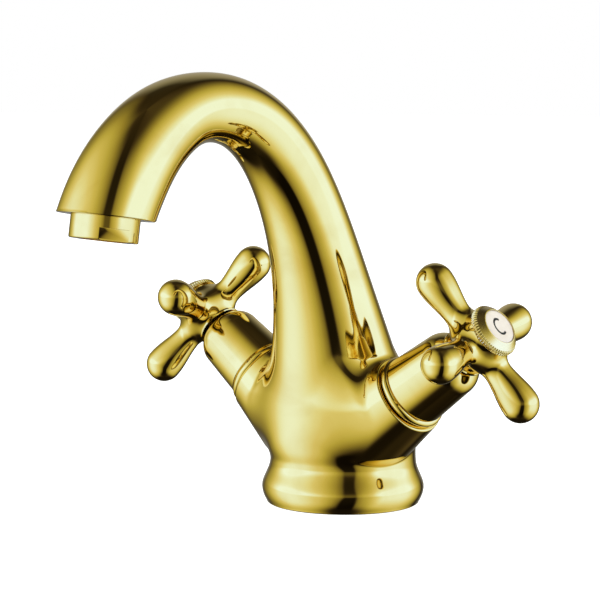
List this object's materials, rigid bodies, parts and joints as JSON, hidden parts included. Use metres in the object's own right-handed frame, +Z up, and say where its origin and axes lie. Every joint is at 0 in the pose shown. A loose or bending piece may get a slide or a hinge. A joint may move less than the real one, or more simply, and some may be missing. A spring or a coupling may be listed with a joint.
{
  "type": "bathroom mixer faucet",
  "caption": "Deck-mounted two-handle basin mixer: a swept one-piece spout on a round foot, cross handles on angled ceramic-disc valves, and a screw-in aerator.",
  "frame": {"origin": "centre of the foot's underside, on the deck", "axes": "+Z up, -Y along the spout towards the user, +X through the cold side, -X through the hot side"},
  "size_m": [0.1776, 0.1728, 0.164],
  "materials": {
    "polished_gold": "mirror-polished gold plating on brass",
    "pale_gold": "polished pale gold plating",
    "raw_brass": "turned, unplated",
    "steel": "bright stainless",
    "valve_ceramic": "lapped alumina ceramic",
    "porcelain": "glazed porcelain, cream",
    "seal_rubber": "matt black",
    "aerator_plastic": "moulded, light grey"
  },
  "bodies": {
    "mixer": {"body": "polished_gold", "base_seal": "seal_rubber", "aerator_housing": "polished_gold", "aerator_insert": "aerator_plastic", "aerator_strainer": "steel", "aerator_washer": "seal_rubber", "cold_headwork": "raw_brass", "cold_seat_seal": "seal_rubber", "cold_fixed_disc": "valve_ceramic", "cold_flange_washer": "seal_rubber", "cold_shroud": "polished_gold", "hot_headwork": "raw_brass", "hot_seat_seal": "seal_rubber", "hot_fixed_disc": "valve_ceramic", "hot_flange_washer": "seal_rubber", "hot_shroud": "polished_gold"},
    "cold_control": {"cold_moving_disc": "valve_ceramic", "cold_spindle": "raw_brass", "cold_spindle_orings": "seal_rubber", "cold_retaining_clip": "steel", "cold_handle": "polished_gold", "cold_handle_screw": "steel", "cold_index_ring": "pale_gold", "cold_index_disc": "porcelain"},
    "hot_control": {"hot_moving_disc": "valve_ceramic", "hot_spindle": "raw_brass", "hot_spindle_orings": "seal_rubber", "hot_retaining_clip": "steel", "hot_handle": "polished_gold", "hot_handle_screw": "steel", "hot_index_ring": "pale_gold", "hot_index_disc": "porcelain"}
  },
  "joints": [
    {"name": "cold_turn", "type": "hinge", "parent": "mixer", "child": "cold_control", "pos_m": [0.06733, -0.0044, 0.0672], "axis": [0.8211, 0, 0.5707], "range_deg": [-90, 0]},
    {"name": "hot_turn", "type": "hinge", "parent": "mixer", "child": "hot_control", "pos_m": [-0.06733, -0.0044, 0.0672], "axis": [-0.8211, 0, 0.5707], "range_deg": [0, 90]}
  ]
}
